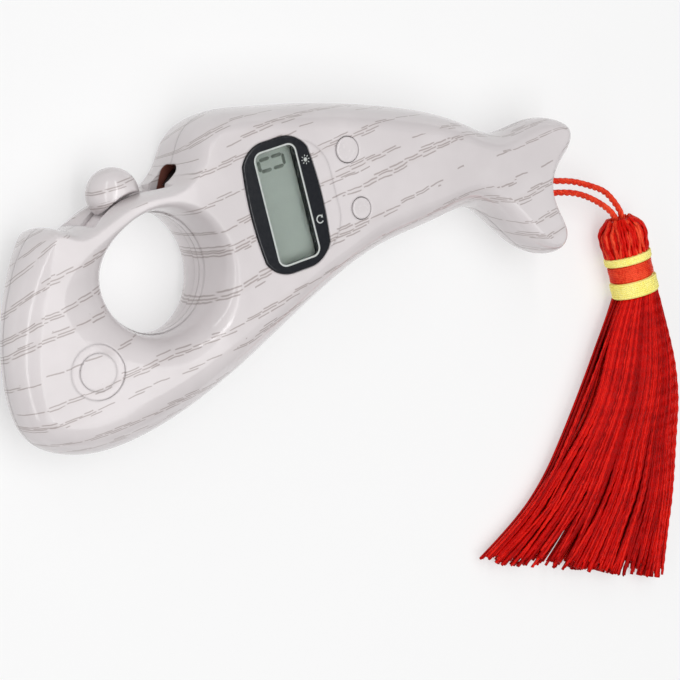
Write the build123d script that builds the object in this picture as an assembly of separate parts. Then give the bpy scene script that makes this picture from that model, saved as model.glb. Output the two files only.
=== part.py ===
from build123d import *
import math
import os

os.makedirs("parts", exist_ok=True)

# Body. The origin is on the finger hole's axis at the parting plane: X runs to the tail, Z out of the face.
body_length = 118.8
body_width = 47.8
half_thickness = 8.9
nose_thinning = 4.5
tail_thinning = 3.9
wall = 1.8
finger_radius = 10.0
ring_depth = 3.6
hole_land = 1.6
land_step = 0.2
tail_solid = 17.0

# Clearances
cut_over = 3.0
seat_gap = 0.1
slide_gap = 0.2
bead_gap = 0.3
button_gap = 0.12
fit_gap = 0.03

# Body outline, anticlockwise from the belly: shares of the length and of the width,
# and for the rolled edge a share of half the thickness
notch_shares = (0.694, -0.186, 0.28)
tip_shares = (0.747, 0.006, 0.235)
tail_shares = [
    (0.340, -0.192, 0.65), (0.476, -0.161, 0.58), (0.556, -0.176, 0.49), (0.589, -0.259, 0.40),
    (0.640, -0.406, 0.30), (0.677, -0.433, 0.225), (0.699, -0.374, 0.235), (0.695, -0.280, 0.28),
    notch_shares, (0.717, -0.119, 0.315), (0.741, -0.067, 0.28), tip_shares,
    (0.722, 0.056, 0.30), (0.673, 0.071, 0.43), (0.620, 0.069, 0.47), (0.559, 0.155, 0.58),
]
back_shares = [
    (0.442, 0.293, 0.63), (0.323, 0.387, 0.58), (0.219, 0.446, 0.54), (0.160, 0.469, 0.45),
    (0.126, 0.456, 0.36), (0.098, 0.404, 0.27), (0.078, 0.331, 0.21),
]
head_shares = [
    (-0.143, 0.268, 0.20), (-0.170, 0.236, 0.34), (-0.202, 0.138, 0.63), (-0.234, -0.025, 0.83),
    (-0.252, -0.230, 0.85), (-0.239, -0.414, 0.74), (-0.185, -0.508, 0.72), (-0.076, -0.529, 0.88),
    (0.056, -0.450, 0.83), (0.197, -0.314, 0.76),
]
# Top of the finger ring: angle, share of the ring's radius, share of half the thickness for the edge
ring_shares = [
    (65.7, 1.106, 0.17), (88.3, 1.0, 0.15), (112.6, 1.035, 0.15), (130.2, 1.117, 0.17), (139.3, 1.262, 0.21),
]
# Flare of the finger hole: angle, share of its radius
flare_shares = [
    (0, 0.26), (45, 0.22), (90, 0.16), (130, 0.26), (180, 0.95), (225, 0.75), (270, 0.55), (315, 0.40),
]
# The faces are level between these shares of the body's length and thin out over the next ones
level_from_share = 0.084
level_to_share = 0.379
nose_run_share = 0.337
tail_run_share = 0.379
side_span_shares = (-0.31, 0.80)
least_roll_share = 0.09
over_roll_share = 1.012
roll_step = 15

# Channel on the ring, with the slider and the bead that runs on it
channel_floor = 3.1
channel_radius = 9.6
channel_angles = (66.0, 133.0)
track_depth = 1.4
track_half_width = 2.5
track_angles = (24.0, 136.0)
strip_angles = (41.0, 133.0)
core_depth = 5.2
slot_depth = 5.6
slot_half_width = 2.7
slot_corner = 1.6
slot_angles = (46.0, 68.0)
pocket_angles = (24.0, 50.0)
lug_angles = (42.0, 46.0)
lug_depth = 7.5
lug_half_width = 1.5
bead_radius = 4.45
bead_rise = 4.5
bead_angle = 100.0
stem_radius = 1.2
stem_depth_share = 0.35

# Display
display_set_back = 13.95
display_y = 4.65
bezel_width = 14.2
bezel_length = 22.5
bezel_corner = 5.4
bezel_side_radius = 58.0
bezel_rim = 0.25
bezel_stand = 0.3
recess_depth = 0.9
pad_width = 14.0
pad_length = 20.5
pad_corner = 6.9
pad_shift = 3.0
pad_stand = 0.25
pad_edge = 0.4
aperture_width = 7.85
aperture_length = 19.1
aperture_corner = 1.3
pane_lap = 0.7
pane_thickness = 0.6
window_ledge = 0.35
lcd_width = 10.2
lcd_length = 21.6
lcd_thickness = 1.6
frame_wall = 1.1
frame_lip = 0.6
zebra_width = 1.4
zebra_height = 1.9
zebra_inset = 0.6
guide_height = 1.7
lamp_length = 1.6
lamp_width = 0.8
lamp_height = 0.7

# Circuit board: its outline is shares of its length and width
board_thickness = 1.0
board_length = 28.0
board_width = 25.0
board_edge = 2.07
board_shares = [(0, 0), (0.55, 0), (1, 0.096), (1, 0.832), (0.55, 1), (0, 1)]
core_clear = 0.8
blob_radius = 4.2
blob_height = 1.2

# Buttons
button_set_back = 14.2
light_y = 10.2
light_radius = 2.2
reset_y = -0.1
reset_radius = 1.85
button_stand = 0.25
button_dome = 0.3
button_travel = 0.35
flange_lap = 0.8
flange_thickness = 0.8
switch_side = 4.5
switch_height = 1.9
plunger_radius = 1.1
plunger_gap = 0.1
plunger_depth = 0.5

# Count contact
leaf_thickness = 0.25
leaf_half_width = 1.5
leaf_reach = 6.6
leaf_foot_reach = 8.4
leaf_foot_angle = 8.0
leaf_lead = 0.8
leaf_foot_width = 1.0
post_radius = 0.6
post_offset = 1.5

# Coin cell, its contacts and the battery door
cell_radius = 10.0
cell_height = 3.2
cell_offset = 5.5
cell_drop = 0.65
well_gap = 0.5
well_wall = 1.3
well_rise = 0.2
door_lap = 1.5
door_thickness = 1.1
door_pad = 0.6
door_screw_reach = 13.5
door_tail_radius = 4.0
spring_thickness = 0.3
spring_width = 4.0
spring_foot = 5.0
spring_reach = 4.0
spring_toe = 1.6
rim_contact_width = 3.0
rim_touch = 0.02

# Screws: those of the case stand at shares of the body's length and width
case_screw_shares = [(-0.195, -0.084), (0.017, -0.387), (0.471, 0.067), (0.408, 0.209)]
case_head_radius = 1.9
case_head_height = 1.4
case_shank_radius = 0.95
case_screw_depth = 2.5
case_screw_reach = 3.0
head_gap = 0.2
boss_wall = 0.9
front_boss_radius = 2.2
board_screw_radius = 0.62
board_head_radius = 1.3
board_head_height = 1.0
board_boss_radius = 1.8
board_screw_reach = 2.4
board_screw_set_back = 9.45
board_screw_spread = 8.2
board_screw_shift = -0.25
door_shank_radius = 0.7
door_head_radius = 1.7
door_head_height = 0.7
door_boss_radius = 2.2
door_screw_length = 5.5

# Eye
eye_x = -16.6
eye_y = -11.5
eye_outer = 4.6
eye_inner = 3.1
eye_depth = 0.35

# Cord and its pin in the tail: the cord's two legs are measured from the pin
pin_set_back = 4.95
pin_raise = 0.89
pin_radius = 0.65
pin_length = 9.0
cord_diameter = 1.2
cord_room = 0.25
exit_direction = (0.96, -0.28)
exit_reach = 8.0
arc_share = 0.45
wrap_offset = 1.3
cord_leg_one = [
    (23.4, -32.5, -4.7), (24.1, -26.0, -4.3), (24.1, -19.0, -4.25), (24.25, -12.2, -4.3),
    (22.5, -9.5, -3.3), (20.0, -6.5, -2.2), (16.0, -4.3, -1.0), (11.8, -2.2, -0.3),
    (7.15, -0.85, 0), (2.65, 0.5, 0),
]
cord_leg_two = [
    (1.95, -1.85, 0), (6.6, -2.9, 0), (11.3, -4.2, -0.3), (15.2, -6.2, -1.2), (18.8, -8.7, -2.4),
    (21.5, -11.1, -3.5), (22.7, -13.1, -4.3), (22.6, -19.0, -4.3), (22.5, -25.5, -4.25),
]

# Tassel, lying beside the tail on the plane that the body lies on
tassel_set_back = 23.3
tassel_drop = 11.9
tassel_lift = 0.15
head_length = 7.6
head_width = 10.4
head_height = 9.0
tassel_head_shares = [(0, 0.16), (0.14, 0.55), (0.42, 0.92), (0.70, 1.0), (1, 0.86)]
band_width = 9.3
band_height = 8.6
wrap_width = 8.7
wrap_height = 8.0
band_round = 0.45
upper_band_length = 1.7
wrap_length = 3.1
lower_band_length = 3.1
skirt_length = 53.0
skirt_spread = 42.0
skirt_height = 8.2
skirt_lead = (-0.50, -0.83)
# Skirt sections: how far along, how far aside, width and height, as shares of the skirt's own sizes
skirt_shares = [
    (0, 0, 0.21, 0.98), (0.16, -0.01, 0.40, 0.95), (0.33, -0.025, 0.54, 0.90), (0.50, -0.02, 0.66, 0.82),
    (0.68, 0.0, 0.76, 0.74), (0.83, 0.015, 0.87, 0.68), (1, 0.03, 1.0, 0.60),
]

# Places worked out from those sizes
ring_radius = finger_radius + ring_depth
floor_radius = finger_radius + channel_floor
core_radius = finger_radius + core_depth
track_inner = floor_radius - slide_gap - track_depth
strip_inner = track_inner + slide_gap
strip_outer = floor_radius - slide_gap
strip_half_width = track_half_width - slide_gap
bead_orbit = finger_radius + bead_rise
lug_radius = finger_radius + lug_depth
ceiling = half_thickness - wall
display_x = finger_radius + display_set_back
button_x = display_x + button_set_back
recess_floor = half_thickness - recess_depth
lcd_back = ceiling - lcd_thickness
board_top = lcd_back - zebra_height
board_under = board_top - board_thickness
board_x = display_x - frame_wall - lcd_width / 2 - board_edge
board_y = display_y - board_width / 2
cell_x = display_x + cell_offset
cell_y = display_y - cell_drop
door_inside = door_thickness - half_thickness
cell_under = door_inside + door_pad
cell_top = cell_under + cell_height
well_radius = cell_radius + well_gap
door_screw_x = cell_x + door_screw_reach
pane_width = aperture_width + 2 * pane_lap
pane_length = aperture_length + 2 * pane_lap
opening_width = pane_width - 2 * window_ledge
opening_length = pane_length - 2 * window_ledge
pin_x = body_length * notch_shares[0] - pin_set_back
pin_y = body_width * notch_shares[1] + pin_raise
tassel_x = pin_x + tassel_set_back
tassel_top = pin_y - tassel_drop
tassel_z = tassel_lift + head_height / 2 - half_thickness


def column(x, y, radius, low, high):
    """An upright cylinder from one height to another."""
    return Pos(x, y, (low + high) / 2) * Cylinder(radius, high - low)


def slab(x, y, length, width, low, high):
    """An upright block from one height to another."""
    return Pos(x, y, (low + high) / 2) * Box(length, width, high - low)


def sector(inner, outer, half_width, angles, corner=0):
    """Part of a ring about the finger hole, between two angles."""
    width = outer - inner
    section = RectangleRounded(width, 2 * half_width, corner) if corner else Rectangle(width, 2 * half_width)
    swept = revolve(Plane.XZ * Pos(inner + width / 2, 0) * section, Axis.Z, angles[1] - angles[0])
    return Rot(0, 0, angles[0]) * swept


def polar(radius, angle, z=0):
    """A point at a radius and an angle about the finger hole."""
    return Vector(radius * math.cos(math.radians(angle)), radius * math.sin(math.radians(angle)), z)


def half_height(x):
    """Half the body's thickness: level along the middle, thinner to the nose and to the tail."""
    nose = max(0, (level_from_share * body_length - x) / (nose_run_share * body_length))
    tail = min(1, max(0, (x - level_to_share * body_length) / (tail_run_share * body_length)))
    return half_thickness - nose_thinning * nose ** 2 - tail_thinning * tail ** 2 * (3 - 2 * tail)


def outline_points():
    """The body's outline at the parting plane, and how far its edge rolls in at each point."""
    rows = [(Vector(x * body_length, y * body_width), roll) for x, y, roll in tail_shares + back_shares]
    rows += [(polar(share * ring_radius, angle), roll) for angle, share, roll in ring_shares]
    rows += [(Vector(x * body_length, y * body_width), roll) for x, y, roll in head_shares]
    return [point for point, roll in rows], [roll * half_thickness for point, roll in rows]


def inward(points):
    """Directions into a closed outline, square to the line between each point's neighbours."""
    ahead = points[1:] + points[:1]
    behind = points[-1:] + points[:-1]
    along = [(one - two).normalized() for one, two in zip(ahead, behind)]
    return [Vector(-step.Y, step.X) for step in along]


def closed_curve(points, marks):
    """A smooth closed curve through points, marked off in the same steps on every level."""
    heading = (points[1] - points[-1]).normalized()
    loop = Edge.make_spline(points + points[:1], tangents=[heading, heading], parameters=marks, scale=False)
    return Wire([loop])


def rolled(points, rolls, side, drop=0, foot=0, first_turn=-90):
    """A solid whose edges roll over in quarter ellipses, inwards (side 1) or outwards (side -1)."""
    into = inward(points)
    tops = [point + way * (side * roll) for point, way, roll in zip(points, into, rolls)]
    rises = [(half_height(top.X) - drop) * over_roll_share - foot for top in tops]
    marks = [0.0]
    for one, two in zip(points, points[1:] + points[:1]):
        marks.append(marks[-1] + (two - one).length)
    levels = []
    for turn in range(first_turn, 91, roll_step):
        lean, lift = 1 - math.cos(math.radians(turn)), math.sin(math.radians(turn))
        level = []
        for point, way, roll, rise in zip(points, into, rolls, rises):
            level.append(point + way * (side * roll * lean) + Vector(0, 0, foot + rise * lift))
        levels.append(closed_curve(level, marks))
    faces = list(Shell.make_loft(levels).faces())
    ends = [(levels[-1], half_thickness + cut_over)]
    if first_turn < 0:
        ends.append((levels[0], -half_thickness - cut_over))
    else:
        faces.append(Face(levels[0]))
    for level, height in ends:
        flat = closed_curve([Vector(top.X, top.Y, height) for top in tops], marks)
        faces += Shell.make_loft([level, flat], ruled=True).faces()
        faces.append(Face(flat))
    return Solid(Shell(faces))


def side_form(drop=0):
    """The body's thickness seen from the side, run across its whole width."""
    start, end = (share * body_length for share in side_span_shares)
    level_from, level_to = level_from_share * body_length, level_to_share * body_length
    count = 8
    nose = [start + (level_from - start) * step / count for step in range(count + 1)]
    tail = [level_to + (end - level_to) * step / count for step in range(count + 1)]
    top = Spline([(x, half_height(x) - drop) for x in nose])
    top += Line((level_from, half_thickness - drop), (level_to, half_thickness - drop))
    top += Spline([(x, half_height(x) - drop) for x in tail])
    under = mirror(top, Plane.XZ)
    ends = [Line((x, half_height(x) - drop), (x, drop - half_height(x))) for x in (start, end)]
    face = make_face(top.edges() + under.edges() + ends)
    return extrude(Plane.XZ * face, body_width, both=True)


def body_form():
    """The whole body before it is hollowed and parted, with its flared finger hole."""
    points, rolls = outline_points()
    form = rolled(points, rolls, 1) & side_form()
    form -= Cylinder(finger_radius, 2 * (half_thickness + cut_over))
    rim = [polar(finger_radius + land_step, angle) for angle, share in flare_shares]
    flare = rolled(rim, [share * finger_radius for angle, share in flare_shares], -1, 0, hole_land, 0)
    return form - flare - mirror(flare, Plane.XY)


def hollow_form():
    """The space inside the shells, clear of the finger ring and of the solid tail."""
    points, rolls = outline_points()
    moved = [point + way * wall for point, way in zip(points, inward(points))]
    least = least_roll_share * half_thickness
    space = rolled(moved, [max(roll - wall, least) for roll in rolls], 1, wall) & side_form(wall)
    end = body_length * tip_shares[0] - tail_solid
    space &= slab(end - body_length, 0, 2 * body_length, 2 * body_width, -half_thickness, half_thickness)
    return space - Cylinder(core_radius, 2 * half_thickness)


def bezel_outline(grow=0):
    """Barrel shape of the display bezel: round corners and slightly bowed long sides."""
    shape = RectangleRounded(bezel_width + 2 * grow, bezel_length + 2 * grow, bezel_corner + grow)
    offset = bezel_side_radius - bezel_width / 2
    for side in (-1, 1):
        shape &= Pos(side * offset, 0) * Circle(bezel_side_radius + grow)
    return Pos(display_x, display_y) * shape


def channel_space(gap=0):
    """The hollow along the ring's top, round across, where the bead runs."""
    section = Pos(floor_radius + channel_radius, 0) * Circle(channel_radius - gap)
    swept = revolve(Plane.XZ * section, Axis.Z, channel_angles[1] - channel_angles[0])
    return Rot(0, 0, channel_angles[0]) * swept


def cord_pocket():
    """The slot in the tail that the cord's loop comes out of, with the hole for its pin."""
    half_width = pin_radius + cord_diameter + cord_room
    way = Vector(*exit_direction)
    shape = SlotCenterPoint(way * exit_reach / 2, (0, 0), 2 * half_width)
    slot = extrude(shape, cord_diameter / 2 + cord_room, both=True)
    return Pos(pin_x, pin_y) * (slot + Cylinder(pin_radius + fit_gap, pin_length + seat_gap))


def hollowed_body(form, space):
    """The body hollowed out, with the channel, the slider's track and the shoulder slot."""
    body = form - space
    body -= channel_space()
    body -= sector(track_inner, floor_radius, track_half_width, track_angles)
    body -= sector(track_inner, floor_radius + channel_radius, track_half_width, channel_angles)
    slot_inner = floor_radius - slide_gap
    body -= sector(slot_inner, slot_inner + slot_depth, slot_half_width, slot_angles, slot_corner)
    body -= sector(track_inner, core_radius + seat_gap, track_half_width, pocket_angles)
    return body - cord_pocket()


def case_screw_places():
    """Where the screws that hold the two shells together stand."""
    return [(x * body_length, y * body_width) for x, y in case_screw_shares]


def board_screw_places():
    """Where the two screws hold the circuit board to the front shell."""
    x = display_x + board_screw_set_back
    y = display_y + board_screw_shift
    return [(x, y + board_screw_spread), (x, y - board_screw_spread)]


def buttons():
    """Place and radius of the two buttons."""
    return {"light": (button_x, light_y, light_radius), "reset": (button_x, reset_y, reset_radius)}


def display_pad():
    """The slightly raised pad behind the display, which shows beside it as a crescent with a soft edge."""
    pad = extrude(RectangleRounded(pad_width, pad_length, pad_corner), recess_depth + pad_stand)
    pad = fillet(pad.faces().sort_by(Axis.Z)[-1].edges(), pad_edge)
    return Pos(display_x + pad_shift, display_y, recess_floor) * pad


def front_shell(form, body):
    """The front half, with the display recess, the button holes, the eye and the bosses inside."""
    shell = body & slab(0, 0, 2 * body_length, 2 * body_width, 0, half_thickness)
    shell += display_pad()
    for x, y in case_screw_places():
        shell += column(x, y, front_boss_radius, 0, half_thickness) & form
        shell -= column(x, y, case_shank_radius + fit_gap, -cut_over, case_screw_reach + seat_gap)
    for x, y in board_screw_places():
        shell += column(x, y, board_boss_radius, board_top, half_thickness - wall / 2)
        bore_end = board_top + board_screw_reach + seat_gap
        shell -= column(x, y, board_screw_radius + fit_gap, board_top, bore_end)
    shell -= Pos(0, 0, recess_floor) * extrude(bezel_outline(seat_gap), cut_over)
    shell -= slab(display_x, display_y, opening_width, opening_length, lcd_back, half_thickness)
    for x, y, radius in buttons().values():
        shell -= column(x, y, radius + button_gap, board_top, half_thickness + cut_over)
    eye = column(eye_x, eye_y, eye_outer, 0, half_thickness + cut_over)
    eye -= column(eye_x, eye_y, eye_inner, 0, half_thickness + cut_over)
    return shell - (eye - Pos(0, 0, -eye_depth) * form)


def door_outline(grow=0):
    """The battery door: a round end over the cell that narrows to its screw."""
    round_end = Pos(cell_x, cell_y) * Circle(well_radius + door_lap + grow)
    narrow_end = Pos(door_screw_x, cell_y) * Circle(door_tail_radius + grow)
    return make_hull(round_end.edges() + narrow_end.edges())


def rear_shell(form, body):
    """The rear half, with the screw bosses, the cell's well and the seat of the battery door."""
    shell = body & slab(0, 0, 2 * body_length, 2 * body_width, -half_thickness, 0)
    head_radius = case_head_radius + head_gap
    for x, y in case_screw_places():
        shell += column(x, y, head_radius + boss_wall, -half_thickness, 0) & form
        shell -= column(x, y, head_radius, -half_thickness - cut_over, -case_screw_depth)
        shell -= column(x, y, case_shank_radius + fit_gap, -half_thickness, cut_over)
    shell += column(cell_x, cell_y, well_radius + well_wall, door_inside, cell_top + well_rise)
    shell += column(door_screw_x, cell_y, door_boss_radius, door_inside, door_inside + door_screw_length)
    shell -= Pos(0, 0, door_inside) * extrude(door_outline(seat_gap), -cut_over)
    shell -= column(cell_x, cell_y, well_radius, -half_thickness, cell_top + cut_over)
    bore_end = door_inside + door_screw_length - wall / 2
    return shell - column(door_screw_x, cell_y, door_shank_radius + fit_gap, -half_thickness, bore_end)


def battery_door():
    """The door in the rear face, with the pad that the cell lies on and a sunk hole for its screw."""
    door = Pos(0, 0, -half_thickness) * extrude(door_outline(), door_thickness)
    door += column(cell_x, cell_y, cell_radius, door_inside, cell_under)
    door -= column(door_screw_x, cell_y, door_shank_radius + seat_gap, -half_thickness - cut_over, cell_under)
    sink = door_head_height - half_thickness
    return door - column(door_screw_x, cell_y, door_head_radius + seat_gap, -half_thickness - cut_over, sink)


def bead_slider():
    """The strip that slides in the channel, with the bead's stem and the lug that works the contact."""
    slider = sector(strip_inner, strip_outer, strip_half_width, strip_angles)
    slider += sector(strip_outer - slide_gap, lug_radius, lug_half_width, lug_angles)
    reach = bead_rise - (strip_outer - finger_radius) + bead_radius * stem_depth_share
    stem = Pos(strip_outer + reach / 2 - slide_gap, 0, 0) * Rot(0, 90, 0) * Cylinder(stem_radius, reach)
    return slider + Rot(0, 0, bead_angle) * stem


def thumb_bead(slider):
    """The bead: a ball whose underside follows the channel and sits on the slider's stem."""
    ball = Pos(polar(bead_orbit, bead_angle)) * Sphere(bead_radius)
    return (ball & channel_space(bead_gap)) - slider


def display_bezel():
    """The bezel, with its window and the seat for the pane behind it."""
    height = recess_depth + bezel_stand
    bezel = extrude(bezel_outline(), height)
    bezel = fillet(bezel.faces().sort_by(Axis.Z)[-1].edges(), bezel_rim)
    bezel = Pos(0, 0, recess_floor) * bezel
    top = half_thickness + cut_over
    hole = Pos(display_x, display_y, recess_floor) * extrude(
        RectangleRounded(aperture_width, aperture_length, aperture_corner), top - recess_floor
    )
    seat_width, seat_length = pane_width + 2 * seat_gap, pane_length + 2 * seat_gap
    seat = slab(display_x, display_y, seat_width, seat_length, recess_floor, recess_floor + pane_thickness)
    return bezel - hole - seat


def lcd_frame(space):
    """The frame that holds the LCD over the board, within the space inside the shells."""
    outer_width, outer_length = lcd_width + 2 * frame_wall, lcd_length + 2 * frame_wall
    top = ceiling - frame_lip
    frame = slab(display_x, display_y, outer_width, outer_length, board_top, top)
    inner_width, inner_length = lcd_width + 2 * seat_gap, lcd_length + 2 * seat_gap
    frame -= slab(display_x, display_y, inner_width, inner_length, board_top, top)
    return frame & space


def zebra_strips():
    """Two rubber strips that join the LCD to the board."""
    offset = lcd_width / 2 - zebra_inset - zebra_width / 2
    length = lcd_length - 2 * zebra_inset
    places = [display_x - offset, display_x + offset]
    return Compound(children=[slab(x, display_y, zebra_width, length, board_top, lcd_back) for x in places])


def light_guide():
    """The clear block behind the LCD that spreads the lamp's light."""
    width = lcd_width - 2 * (zebra_inset + zebra_width + seat_gap)
    low = display_y - lcd_length / 2 + lamp_width + 2 * zebra_inset
    high = display_y + lcd_length / 2 - zebra_inset
    return slab(display_x, (low + high) / 2, width, high - low, board_top, board_top + guide_height)


def backlight_lamp():
    """The lamp at the end of the light guide."""
    y = display_y - lcd_length / 2 + zebra_inset + lamp_width / 2
    return slab(display_x, y, lamp_length, lamp_width, board_top, board_top + lamp_height)


def circuit_board():
    """The board, cut round the finger ring, with its two screw holes."""
    corners = [(board_x + x * board_length, board_y + y * board_width) for x, y in board_shares]
    board = Pos(0, 0, board_under) * extrude(make_face(Polyline(corners, close=True)), board_thickness)
    board -= column(0, 0, core_radius + core_clear, board_under, board_top)
    for x, y in board_screw_places():
        board -= column(x, y, board_screw_radius + seat_gap, board_under, board_top)
    return board


def controller_blob():
    """The drop of resin over the controller, under the board."""
    x = display_x + board_screw_set_back
    return column(x, cell_y, blob_radius, board_under - blob_height, board_under)


def button(x, y, radius):
    """A round button with a slightly domed top and a flange that keeps it in."""
    flange_top = ceiling - seat_gap
    knob = column(x, y, radius, flange_top, half_thickness + button_stand)
    knob = fillet(knob.faces().sort_by(Axis.Z)[-1].edges(), button_dome)
    return knob + column(x, y, radius + flange_lap, flange_top - flange_thickness, flange_top)


def switch_body(x, y):
    """A small square switch on the board, bored for its plunger."""
    top = board_top + switch_height
    bore_floor = top - plunger_depth - button_travel - plunger_gap
    body = slab(x, y, switch_side, switch_side, board_top, top)
    return body - column(x, y, plunger_radius + plunger_gap, bore_floor, top)


def plunger(x, y):
    """The pin between a button's flange and its switch."""
    top = ceiling - seat_gap - flange_thickness
    return column(x, y, plunger_radius, board_top + switch_height - plunger_depth, top)


def leaf_line():
    """The two ends of the count leaf, seen from the front."""
    foot = polar(finger_radius + leaf_foot_reach, leaf_foot_angle)
    return foot, polar(finger_radius + leaf_reach, lug_angles[0] - leaf_lead)


def count_leaf():
    """The leaf spring under the board that the lug bends and that pushes the bead back."""
    foot, tip = leaf_line()
    blade = Rectangle((tip - foot).length, leaf_thickness)
    turn = math.degrees(math.atan2(tip.Y - foot.Y, tip.X - foot.X))
    middle = (foot + tip) / 2
    leaf = Pos(middle) * Rot(0, 0, turn) * extrude(blade, leaf_half_width, both=True)
    return leaf + slab(foot.X, foot.Y, leaf_foot_width, leaf_foot_width, -leaf_half_width, board_under)


def count_contact():
    """The post that the bent leaf touches."""
    foot, tip = leaf_line()
    along = (tip - foot).normalized()
    place = (foot + tip) / 2 + Vector(along.Y, -along.X) * post_offset
    return column(place.X, place.Y, post_radius, -leaf_half_width, board_under)


def cell_spring():
    """The bent strip from the board down to the top of the cell."""
    half = spring_thickness / 2
    start = (display_x - spring_foot, board_under - half)
    bend = (display_x, board_under - half)
    touch = (display_x + spring_reach, cell_top + half)
    toe = (display_x + spring_reach + spring_toe, cell_top + spring_toe)
    strip = Plane.XZ * trace(Polyline(start, bend, touch, toe), spring_thickness)
    strip = Pos(0, cell_y, 0) * extrude(strip, spring_width / 2, both=True)
    room = slab(display_x, cell_y, body_length, body_width, cell_top, board_under)
    return strip & room


def cell_rim_contact():
    """The strip from the board to the cell's rim, between the cell and its well."""
    x = cell_x + cell_radius + rim_touch + spring_thickness / 2
    return slab(x, cell_y, spring_thickness, rim_contact_width, cell_under + cell_height / 2, board_under)


def screw(x, y, head_radius, head_height, shank_radius, seat, reach):
    """A screw whose head lies under the seat and whose shank goes up to a height."""
    head = column(x, y, head_radius, seat - head_height, seat)
    return head + column(x, y, shank_radius, seat, reach)


def case_screws():
    """The four screws that hold the shells together."""
    sizes = (case_head_radius, case_head_height, case_shank_radius, -case_screw_depth, case_screw_reach)
    return Compound(children=[screw(x, y, *sizes) for x, y in case_screw_places()])


def board_screws():
    """The two screws that hold the board."""
    reach = board_top + board_screw_reach
    sizes = (board_head_radius, board_head_height, board_screw_radius, board_under, reach)
    return Compound(children=[screw(x, y, *sizes) for x, y in board_screw_places()])


def door_screw():
    """The screw of the battery door, its head sunk in the door."""
    seat = door_head_height - half_thickness
    head_height = door_head_height - seat_gap
    reach = door_inside + door_screw_length - wall
    return screw(door_screw_x, cell_y, door_head_radius, head_height, door_shank_radius, seat, reach)


def tassel_cord():
    """The red cord: from inside the tassel, round the pin in the tail and back into the tassel."""
    way = Vector(*exit_direction)
    across = Vector(-way.Y, way.X)
    pin = Vector(pin_x, pin_y)
    turn = [pin - way * wrap_offset + across * wrap_offset, pin - way * wrap_offset - across * wrap_offset]
    points = [pin + Vector(*p) for p in cord_leg_one] + turn + [pin + Vector(*p) for p in cord_leg_two]
    radii = []
    for before, point, after in zip(points, points[1:], points[2:]):
        come, leave = point - before, after - point
        half_turn = math.radians(come.get_angle(leave)) / 2
        radii.append(arc_share * min(come.length, leave.length) / math.tan(half_turn))
    path = FilletPolyline(*points, radius=radii)
    start = Plane(origin=path @ 0, z_dir=path % 0)
    tube = sweep(start * Circle(cord_diameter / 2), path)
    print("cord length", round(path.length, 2), "volume", round(tube.volume, 2))
    print("section times length", round(math.pi * cord_diameter ** 2 / 4 * path.length, 2))
    return tube


def across_tassel(y, width, height, z=tassel_z):
    """An oval across the tassel's binding at one place along it."""
    plane = Plane(origin=(tassel_x, y, z), x_dir=(1, 0, 0), z_dir=(0, -1, 0))
    return plane * Ellipse(width / 2, height / 2)


def tassel_head(cord):
    """The folded bulb above the binding."""
    sections = []
    for along, share in tassel_head_shares:
        y = tassel_top - along * head_length
        sections.append(across_tassel(y, share * head_width, share * head_height))
    return loft(sections) - cord


def tassel_band(cord, start, length, width, height):
    """One band of the binding, with rounded edges, round the cord's two legs."""
    band = extrude(across_tassel(start, width, height), length)
    return fillet(band.edges().filter_by(GeomType.ELLIPSE), band_round) - cord


def tassel_skirt(cord, start):
    """The fan of threads round the cord's end, spread out to one side on the table."""
    lead = Vector(*skirt_lead).normalized()
    aside = Vector(-lead.Y, lead.X)
    sections = []
    for along, shift, width, height in skirt_shares:
        middle = Vector(tassel_x, start) + lead * (along * skirt_length) + aside * (shift * skirt_spread)
        turn = min(1, along / skirt_shares[1][0])
        heading = (Vector(0, -1) * (1 - turn) + lead * turn).normalized()
        depth = height * skirt_height
        middle += Vector(0, 0, tassel_lift + depth / 2 - half_thickness)
        plane = Plane(origin=middle, x_dir=Vector(-heading.Y, heading.X), z_dir=heading)
        sections.append(plane * Ellipse(width * skirt_spread / 2, depth / 2))
    return loft(sections) - cord


form = body_form()
space = hollow_form()
body = hollowed_body(form, space)
slider = bead_slider()
cord = tassel_cord()
upper_start = tassel_top - head_length
wrap_start = upper_start - upper_band_length
lower_start = wrap_start - wrap_length
places = buttons()

nodes = {
    "front_shell": front_shell(form, body),
    "rear_shell": rear_shell(form, body),
    "bead_slider": slider,
    "thumb_bead": thumb_bead(slider),
    "display_bezel": display_bezel(),
    "display_window": slab(
        display_x, display_y, pane_width, pane_length, recess_floor, recess_floor + pane_thickness
    ),
    "lcd_panel": slab(display_x, display_y, lcd_width, lcd_length, lcd_back, ceiling),
    "lcd_frame": lcd_frame(space),
    "zebra_strips": zebra_strips(),
    "light_guide": light_guide(),
    "backlight_lamp": backlight_lamp(),
    "circuit_board": circuit_board(),
    "controller_blob": controller_blob(),
    "light_button": button(*places["light"]),
    "reset_button": button(*places["reset"]),
    "light_switch": switch_body(*places["light"][:2]),
    "reset_switch": switch_body(*places["reset"][:2]),
    "light_plunger": plunger(*places["light"][:2]),
    "reset_plunger": plunger(*places["reset"][:2]),
    "count_leaf": count_leaf(),
    "count_contact": count_contact(),
    "coin_cell": column(cell_x, cell_y, cell_radius, cell_under, cell_top),
    "cell_spring": cell_spring(),
    "cell_rim_contact": cell_rim_contact(),
    "battery_door": battery_door(),
    "battery_door_screw": door_screw(),
    "case_screws": case_screws(),
    "board_screws": board_screws(),
    "cord_pin": column(pin_x, pin_y, pin_radius, -pin_length / 2, pin_length / 2),
    "tassel_cord": cord,
    "tassel_head": tassel_head(cord),
    "tassel_band_upper": tassel_band(cord, upper_start, upper_band_length, band_width, band_height),
    "tassel_wrap": tassel_band(cord, wrap_start, wrap_length, wrap_width, wrap_height),
    "tassel_band_lower": tassel_band(cord, lower_start, lower_band_length, band_width, band_height),
    "tassel_skirt": tassel_skirt(cord, lower_start - lower_band_length),
}

for name, shape in nodes.items():
    export_step(shape, f"parts/{name}.step")
    print(name, len(shape.solids()), round(shape.volume, 1))
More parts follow.
